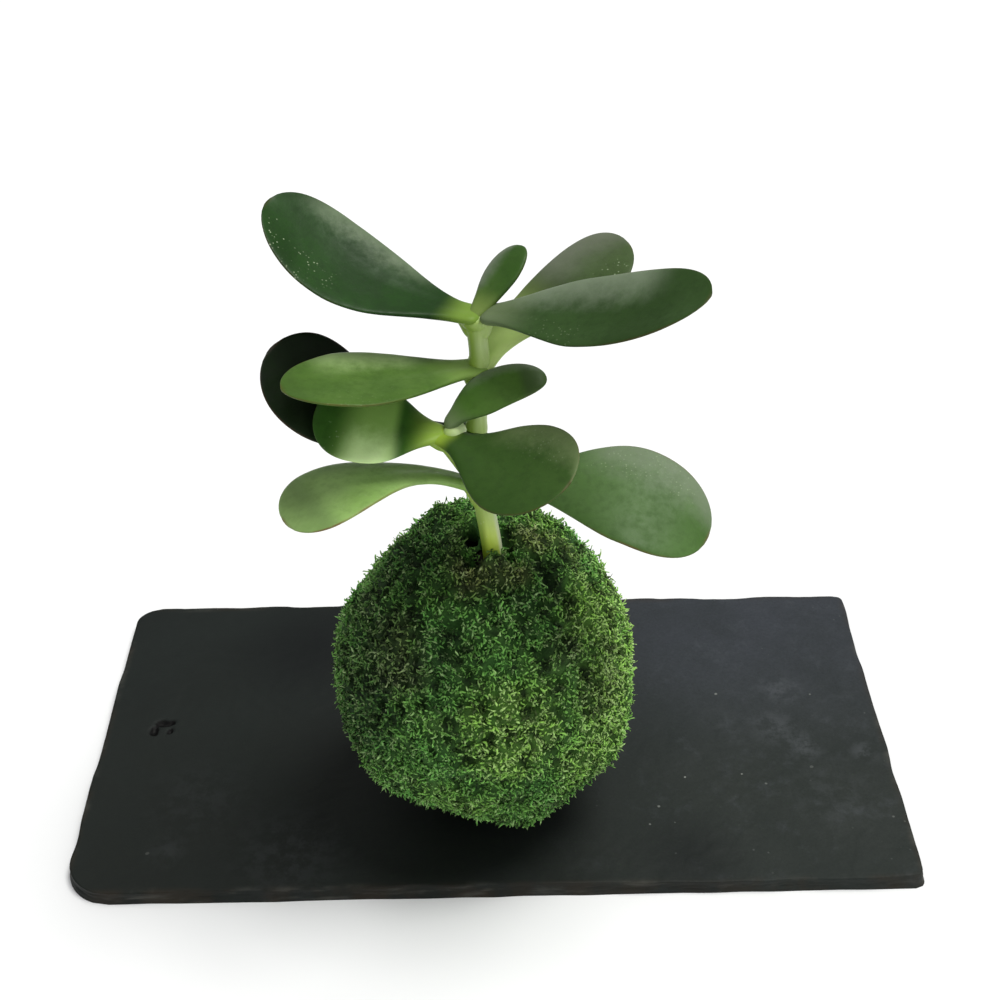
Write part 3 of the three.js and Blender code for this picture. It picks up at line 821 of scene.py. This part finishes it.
def moss_paint(name):
    paint = Paint(name)
    tip, tone = paint.value("tip"), paint.value("tone")
    paint.colour = paint.mix(tone, *PLAIN_MOSS)
    for zone_name, (darkest, palest, strength) in ZONE_COLOURS.items():
        paint.lay(paint.mix(tone, darkest, palest), paint.value(zone_name), strength)
    # The palest strands turn whitish: partly pale tips, partly painted glints
    paint.lay((206, 222, 172), paint.range(tone, 0.9, 1, 0, 0.4))
    # Darker towards the roots and on the mat: partly older moss, partly painted shade down among the strands
    paint.colour = paint.mix(paint.range(tip, 0, 0.35, 0.3, 1), (12, 30, 8), paint.colour)
    paint.lay((190, 210, 140), paint.range(tip, 0.5, 1, 0, 0.25))
    paint.lay((20, 44, 14), paint.range(paint.noise(0.9, 3, 0.6), 0.35, 0.7, 0, 0.25))
    # Painted shade in the pits between the tufts and in the fold
    paint.lay((6, 18, 4), paint.value("pit"), 0.85)
    rough = paint.bump(paint.noise(0.7, 4, 0.7), 0.3)
    return paint.finished(roughness=0.8, specular_ior_level=0.2, normal=rough)


# Soil
CRUMB = 0.8


def make_soil():
    units, faces = ball_points(subdivisions=5)
    inner = BALL.moss + GAP
    crumb = CRUMB * layered_noise(units * BALL.radius, size=3) - CRUMB
    points = on_ball(units, crumb - inner, REST + MOSS_FLOOR + GAP)
    piece = mesh_piece("soil_crumbly_ball", points, faces)
    joined(piece, [stem_piece(grow=0.15)], "DIFFERENCE")
    paint = Paint("damp_soil")
    grain = paint.noise(1.2, 5, 0.7)
    paint.colour = paint.mix(paint.range(grain, 0.35, 0.7), (9, 8, 8), (34, 28, 24))
    dull = paint.range(grain, 0.3, 0.7, 0.75, 1)
    material = paint.finished(roughness=dull, specular_ior_level=0.2, normal=paint.bump(grain, 0.6))
    finish_piece(piece, material, "soil_ball")


# Stem: how far its ends bulge, spread of the swelling at a node, and the small notch in the swelling
STEM_FORM = Named(end_rise=1.4, spread=3, notch=0.18, notch_spread=0.7)

# Filling under each leaf's base: how far below the joint it starts and out along the leaf it reaches
ARMPIT = Named(
    drop=7, reach=(4, 8.5), under=0.9, radius=2.2, lean=0.4, thinning=0.75, first=0.6, full_from=0.4, steps=8)

# The small bud at the side shoot's top and the round knob on top of the main stem
BUD = Named(
    line=[(-9, -35, 139.9), (-4.4, -31.8, 141.3)], radius=2.5, rounding=0.4, fullness=0.7, steps=16,
    heart=0.7, fade=(2.4, 4.2),
)
KNOB = Named(low=-2.5, high=0.6, wider=1.1, swelling=(0.3, 2.6), steps=8)

# The direction of the stem's painted lit side, where it turns fresh, and how far the colour of its nodes
# spreads
STEM_LOOK = Named(light=(-10, 20), fresh=(118, 96), knuckle=5.5)


def smooth_path(nodes, steps=24):
    """Points on a smooth line through the nodes."""
    nodes = np.array(nodes, float)
    ends = [2 * nodes[0] - nodes[1], *nodes, 2 * nodes[-1] - nodes[-2]]
    line = []
    for a, b, c, d in zip(ends, ends[1:], ends[2:], ends[3:]):
        for t in np.arange(steps) / steps:
            bow = 2 * b + (c - a) * t + (2 * a - 5 * b + 4 * c - d) * t**2
            line.append(0.5 * (bow + (3 * b - a - 3 * c + d) * t**3))
    line.append(nodes[-1])
    return np.array(line)


def tube(name, line, radii, sides, end_rise):
    heading = unit(np.gradient(line, axis=0))
    side = unit(np.cross(heading, (0, 1, 0)))
    other = np.cross(heading, side)
    ring = wound(side[:, None], other[:, None], np.arange(sides) * 2 * math.pi / sides)
    points = line[:, None] + ring * radii[:, None, None]
    ends = [line[0] - heading[0] * end_rise, line[-1] + heading[-1] * end_rise]
    return skin(name, points, ends)


def node_nearness(line, spread):
    joints = [NODE[name] for name in ("low", "back", "upper", "top", "shoot")]
    return np.max([np.exp(-((lengths(line - joint) / spread) ** 2)) for joint in joints], axis=0)


def stem_lines():
    main = [NODE[name] for name in ("buried", "soil_line", "low", "back", "upper", "top")]
    side = [NODE[name] for name in ("low", "shoot_bend", "shoot")]
    return smooth_path(main), smooth_path(side)


def armpits():
    """Tubes that round off the corners between the stem and the leaves."""
    main, side = stem_lines()
    tubes = []
    for name, leaf in LEAVES.items():
        joint = NODE[leaf.node]
        line = side if leaf.node == "shoot" else main
        line = line[line[:, 2] < joint[2]]
        below = line[np.argmin(np.abs(lengths(line - joint) - ARMPIT.drop))]
        _, _, up = leaf_axes(np.zeros(1), leaf)
        out = leaf_line(np.array(ARMPIT.reach) / leaf.length, leaf) - up * ARMPIT.under
        between = (below + joint) / 2 + (out[0] - joint) * ARMPIT.lean
        path = smooth_path([below, between, *out], ARMPIT.steps)
        share = np.linspace(0, 1, len(path))
        opening = ARMPIT.first + (1 - ARMPIT.first) * smoothstep(share, 0, ARMPIT.full_from)
        radii = ARMPIT.radius * (1 - ARMPIT.thinning * share**2) * opening
        tubes.append(tube("armpit_" + name, path, radii, sides=20, end_rise=0.3))
    return tubes


def stem_piece(grow):
    """The stem and its side shoot, thicker all round by a little."""
    main, side = stem_lines()
    main_radii = STEM.base + (STEM.top - STEM.base) * np.linspace(0, 1, len(main))
    side_radii = np.full(len(side), STEM.shoot)
    end_rise = STEM_FORM.end_rise + grow

    def knuckles(line):
        notch = STEM_FORM.notch * node_nearness(line, STEM_FORM.notch_spread)
        return STEM.swelling * node_nearness(line, STEM_FORM.spread) - notch

    stem = tube("stem_green_wood", main, main_radii + knuckles(main) + grow, 32, end_rise)
    shoot = tube("shoot", side, side_radii + knuckles(side) + grow, 28, end_rise)
    return joined(stem, [shoot], "UNION")


def make_stem():
    bud_start, bud_end = np.array(BUD.line, float)
    swelling = np.sin(np.linspace(BUD.rounding, math.pi - BUD.rounding, BUD.steps)) ** BUD.fullness
    bud_line = np.linspace(bud_start, bud_end, BUD.steps)
    bud = tube("bud", bud_line, BUD.radius * swelling, sides=24, end_rise=0.5)
    knob_line = np.linspace((0, 0, KNOB.low), (0, 0, KNOB.high), KNOB.steps) + NODE["top"]
    knob_radii = STEM.top + KNOB.wider * np.sin(np.linspace(*KNOB.swelling, KNOB.steps))
    knob = tube("knob", knob_line, knob_radii, sides=28, end_rise=0.7)
    piece = joined(stem_piece(0), [bud, knob, *armpits()], "UNION")

    points = points_of(piece)
    line = np.concatenate(stem_lines())
    nearest = line[np.argmin(lengths(points[:, None] - line), axis=1)]
    # Painted light: points facing this direction get the paler stem colour, the others the darker one
    sunny = np.clip(0.5 + 0.5 * unit(points - nearest) @ direction(*STEM_LOOK.light), 0, 1)
    heart = bud_start + BUD.heart * (bud_end - bud_start)
    on_bud = 1 - smoothstep(lengths(points - heart), *BUD.fade)
    young = smoothstep(points[:, 2], *STEM_LOOK.fresh)
    knuckle = node_nearness(points, STEM_LOOK.knuckle)
    keep_values(piece, knuckle=knuckle, young=young, sunny=sunny, bud=on_bud)
    finish_piece(piece, stem_paint(), "stem")


def stem_paint():
    paint = Paint("stem_skin")
    streak, sunny = paint.noise(1.4, 4, 0.6, (1, 1, 0.12)), paint.value("sunny")
    # Painted light and shade: paler on the lit side, darker on the other, with a painted whitish highlight
    # along the lit edge
    fresh = paint.mix(paint.range(sunny, 0.2, 0.6), (126, 152, 26), (216, 240, 78))
    fresh = paint.mix(paint.range(sunny, 0.86, 0.99), fresh, (226, 234, 196))
    paint.colour = paint.mix(paint.range(sunny, 0.3, 0.85), (132, 160, 70), (192, 214, 146))
    paint.lay((118, 148, 70), paint.range(streak, 0.3, 0.7, 0, 0.35))
    paint.lay(fresh, paint.value("young"), 0.95)
    paint.lay((144, 176, 54), paint.value("knuckle"), 0.7)
    paint.lay((214, 236, 172), paint.value("bud"), 0.8)
    paint.lay((196, 206, 150), paint.range(paint.cells(1.3, (1, 1, 0.5)), 0.16, 0.08), 0.3)
    return paint.finished(
        roughness=paint.range(streak, 0.3, 0.7, 0.38, 0.55), subsurface_weight=0.12,
        subsurface_radius=(0.0012, 0.002, 0.0006), normal=paint.bump(streak, 0.12),
    )


# Form of all leaves, in millimetres and in shares of the leaf's length and width
LEAF = Named(
    thickness=3.6, thinning=0.25, base_share=0.24, roll_reach=0.45, end_from=0.7, end_power=2.2,
    rings=72, sides=40, line_steps=240, crowding=0.3, last_gap=0.0015, wave=0.012, wave_size=7,
    swell=0.14, swell_size=9,
)

# Rounded base that clasps the stem: how much wider than the blade it is, and how far out that fades
CLASP = Named(rounding=2.6, first=0.02, wider=0.7, reach=7)

# Wing of a base, and the groove along the middle of the upper face
WING = Named(place=0.16, spread=0.13)
GROOVE = Named(depth=0.3, half_width=1.6, fade=(0.25, 0.8))


def half_width_share(u, leaf):
    opening = np.sin(math.pi / 2 * np.clip(u / leaf.widest, 0, 1)) ** leaf.taper
    to_tip = np.clip((u - leaf.widest) / (1 - leaf.widest), 0, 1)
    base = LEAF.base_share
    return np.where(u < leaf.widest, base + (1 - base) * opening, np.sqrt(1 - to_tip**leaf.tip_power))


def leaf_axes(u, leaf):
    """Along, across and up at shares u of the leaf's length."""
    azimuth = leaf.azimuth + leaf.sweep * u
    along = direction(azimuth, leaf.rise + leaf.curl * u)
    across = direction(azimuth + 90, 0 * u)
    roll = math.radians(leaf.roll) * smoothstep(u, 0, LEAF.roll_reach)
    return along, turned(across, along, roll), turned(np.cross(along, across), along, roll)


def leaf_line(u, leaf):
    """Points on the leaf's middle line, which runs on straight behind the joint for shares below 0."""
    steps = LEAF.line_steps
    along, _, _ = leaf_axes((np.arange(steps) + 0.5) / steps, leaf)
    shift = np.cumsum(along, axis=0) * leaf.length / steps
    line = np.concatenate([np.zeros((1, 3)), shift]) + NODE[leaf.node]
    places = np.stack([np.interp(u, np.arange(steps + 1) / steps, line[:, k]) for k in range(3)], 1)
    return places + np.minimum(u, 0)[:, None] * leaf.length * along[0]


def blade_section(u, start, turn, leaf, seed):
    """How far the blade's points lie sideways of and above its middle line."""
    from_joint = (u - start) * leaf.length
    base_round = np.sqrt(1 - (1 - np.clip(from_joint / CLASP.rounding, CLASP.first, 1)) ** 2)
    end = np.clip((u - LEAF.end_from) / (1 - LEAF.end_from), 0, 1)
    end_round = np.sqrt(1 - end ** LEAF.end_power)
    wavy = 1 + LEAF.wave * noise(u * leaf.length / LEAF.wave_size, seed, 0.5)
    clasp = CLASP.wider * (1 - smoothstep(u * leaf.length, 0, CLASP.reach))
    half = (leaf.width / 2 * half_width_share(u, leaf) * wavy + clasp) * base_round
    thick = LEAF.thickness / 2 * (1 - LEAF.thinning * u) * end_round * base_round
    skew = leaf.skew * np.sin(math.pi * np.clip(u, 0, 1))
    wing = leaf.wing * np.exp(-(((u - WING.place) / WING.spread) ** 2))
    middle = half[:, None] * (np.cos(turn) + skew[:, None])
    middle = middle + wing[:, None] * np.maximum(np.cos(turn), 0)
    lift = thick[:, None] * np.sin(turn) + leaf.cup * middle**2 / (half + 0.5 * wing)[:, None]
    groove = GROOVE.depth * np.exp(-((middle / GROOVE.half_width) ** 2))
    groove = groove * (1 - smoothstep(u, *GROOVE.fade))[:, None]
    place = np.stack(np.broadcast_arrays(u[:, None] * leaf.length, middle, 0 * middle), -1).reshape(-1, 3)
    swell = LEAF.swell * layered_noise(place + 17 * seed, LEAF.swell_size).reshape(middle.shape)
    upper = np.sin(turn) > 0
    return middle, lift + np.where(upper, swell - groove, swell) * end_round[:, None]


def make_leaf(name, seed):
    leaf = LEAVES[name]
    share = np.arange(LEAF.rings) / LEAF.rings
    start = -leaf.behind / leaf.length
    spread = 0.5 * (np.sin(math.pi / 2 * share) + share) * share ** LEAF.crowding
    u = np.append(start + (1 - start) * spread, 1 - LEAF.last_gap)
    sides = LEAF.sides
    turn = np.arange(sides) * 2 * math.pi / sides
    _, across, up = leaf_axes(u, leaf)
    middle, lift = blade_section(u, start, turn, leaf, seed)
    points = leaf_line(u, leaf)[:, None] + across[:, None] * middle[..., None] + up[:, None] * lift[..., None]
    ends = leaf_line(np.array([start, 1]), leaf)
    piece = skin(name + "_blade", points, ends)
    along_value = np.append(np.repeat(u, sides), [start, 1])
    across_value = np.append(np.tile(np.cos(turn), len(u)), [0, 0])
    keep_values(piece, along=along_value, across=across_value)
    finish_piece(piece, leaf_paint(name, seed), name)


# Leaf colours: blade, second colour, base and how far it reaches, strength of the red margin, pale dots by
# side, start and end along the leaf and strength, painted sheen over some waxy bloom by colour, side,
# distance from the middle line, start, end and strength, and a band across the blade by colour, start, end
# and strength
Look = namedtuple("Look", "blade cloud base reach red dots bloom band", defaults=(None,))
LEAF_LOOKS = dict(
    leaf_top_left=Look(
        (25, 56, 14), (34, 68, 22), (114, 144, 56), 0.17, 0.15,
        (1, 0.55, 0.97, 0.7), ((120, 136, 108), -1, 0.4, 0.18, 0.95, 0.68)),
    leaf_top_right=Look(
        (42, 67, 27), (51, 77, 36), (100, 116, 82), 0.3, 0.2,
        (-1, 0.2, 0.5, 0.15), ((132, 146, 122), 1, -0.1, -0.2, 0.85, 0.75)),
    leaf_top_young=Look(
        (52, 84, 30), (64, 94, 38), (112, 134, 66), 0.4, 0.1,
        (1, 0.4, 0.9, 0), ((118, 128, 110), 1, 0, 0.25, 1.1, 0.8)),
    leaf_upper_right=Look(
        (57, 75, 38), (70, 90, 52), (186, 212, 126), 0.6, 0.15,
        (-1, 0.6, 0.95, 0.6), ((112, 118, 102), 1, -0.3, 0.45, 1.1, 0.75)),
    leaf_upper_left=Look(
        (68, 100, 36), (82, 114, 46), (134, 166, 82), 0.3, 0.3,
        (1, 0.3, 0.9, 0.1), ((162, 190, 124), -1, 0.1, 0.2, 0.85, 0.85),
        band=((60, 84, 34), 0.9, 1.1, 0.5)),
    # Painted shade: this leaf sits in shadow behind the others, so its blade is painted nearly black
    leaf_back_left=Look(
        (8, 18, 5), (16, 30, 10), (70, 100, 34), 0.2, 0.2,
        (1, 0.4, 0.9, 0), ((40, 56, 34), 1, 0.3, 0.2, 0.9, 0.5)),
    # This blade gets a painted band of light across its middle and a painted highlight near its lower edge
    leaf_shoot_left=Look(
        (48, 86, 27), (58, 98, 36), (136, 166, 66), 0.3, 0.1,
        (1, 0.7, 0.9, 0.3), ((216, 246, 174), 1, -0.1, 0.26, 0.78, 0.95),
        band=((144, 184, 94), 0.34, 0.86, 0.85)),
    leaf_shoot_front=Look(
        (48, 76, 28), (58, 86, 36), (138, 166, 54), 0.15, 0.3,
        (1, 0.4, 0.9, 0.15), ((120, 138, 92), 1, 0.2, 0.25, 1.15, 0.65)),
    leaf_shoot_small=Look(
        (68, 104, 38), (78, 112, 46), (118, 136, 96), 0.36, 0.15,
        (1, 0.4, 0.9, 0), ((118, 130, 108), 1, 0.35, 0.3, 1.1, 0.7),
        band=((62, 80, 48), 0.78, 1.2, 0.7)),
    leaf_low_left=Look(
        (138, 174, 94), (152, 186, 110), (126, 162, 78), 0.3, 0.75,
        (1, 0.4, 0.9, 0.15), ((110, 140, 82), -1, 0.3, 0.3, 0.95, 0.5),
        band=((108, 134, 80), 0.82, 1.1, 0.75)),
    leaf_low_right=Look(
        (68, 100, 46), (84, 116, 62), (72, 106, 42), 0.25, 0.5,
        (1, 0.4, 0.9, 0.25), ((130, 142, 120), 1, 0, 0.35, 1.1, 0.65)),
)
RED_MARGIN = (112, 62, 40)
PALE_DOT = (176, 192, 156)
DARKER = 0.78


def leaf_paint(name, seed):
    look = LEAF_LOOKS[name]
    paint = Paint(name + "_skin")
    along, across = paint.value("along"), paint.value("across")

    def stretch_along(start, end, fade_in, fade_out):
        """1 between two places along the leaf, fading in and out."""
        risen = paint.range(along, start, start + fade_in)
        return paint.times(risen, paint.range(along, end, end - fade_out))

    cloud = paint.range(paint.noise(13 + seed, 3, 0.5), 0.35, 0.68)
    paint.colour = paint.mix(cloud, look.blade, look.cloud)
    fine = paint.noise(2.2, 4, 0.6)
    darker = tuple(DARKER * level for level in look.blade)
    paint.lay(darker, paint.range(fine, 0.4, 0.75, 0, 0.35))
    # A band across the blade: on leaf_shoot_left a painted band of light, on the others a darker tip
    if look.band:
        band, start, end, strength = look.band
        paint.lay(band, stretch_along(start - 0.04, end, 0.1, 0.3), strength)
    # Painted sheen along one side of the blade, a painted reflection of the light over some waxy bloom
    bloom, side, inner, start, end, strength = look.bloom
    mottle = paint.times(paint.math("SUBTRACT", paint.noise(4, 5, 0.7), 0.5), 0.7)
    sheen_and_bloom_share = paint.range(paint.math("ADD", paint.times(across, side), mottle), inner, 1)
    paint.lay(bloom, sheen_and_bloom_share, stretch_along(start, end, 0.2, 0.2), strength)
    paint.lay(look.base, paint.range(along, look.reach, 0.03))
    margin = paint.range(paint.math("ABSOLUTE", across), 0.955, 0.995)
    margin = paint.times(margin, paint.range(along, 0.3, 0.8))
    margin = paint.math("MAXIMUM", margin, paint.range(along, 0.982, 0.999))
    patchy = paint.noise(6, 2)
    paint.lay(RED_MARGIN, margin, paint.range(patchy, 0.35, 0.6, 0.3, 1), look.red)
    side, start, end, strength = look.dots
    dots = paint.range(paint.cells(1.1), 0.26, 0.1)
    on_side = paint.range(paint.times(across, side), 0.1, 0.45)
    reach = stretch_along(start, end, 0.1, 0.05)
    paint.lay(PALE_DOT, dots, paint.range(patchy, 0.36, 0.52), on_side, reach, strength)
    skin = paint.bump(paint.noise(0.45, 2), 0.02)
    return paint.finished(
        roughness=paint.range(fine, 0.3, 0.7, 0.36, 0.5), specular_ior_level=0.14, subsurface_weight=0.05,
        subsurface_radius=(0.001, 0.002, 0.0005), normal=paint.bump(paint.noise(5, 3), 0.12, Normal=skin),
    )


make_camera()
make_light()
make_floor()
make_plate()
make_moss_body()
make_strands()
make_soil()
make_stem()
for number, leaf_name in enumerate(LEAVES, start=1):
    make_leaf(leaf_name, number)
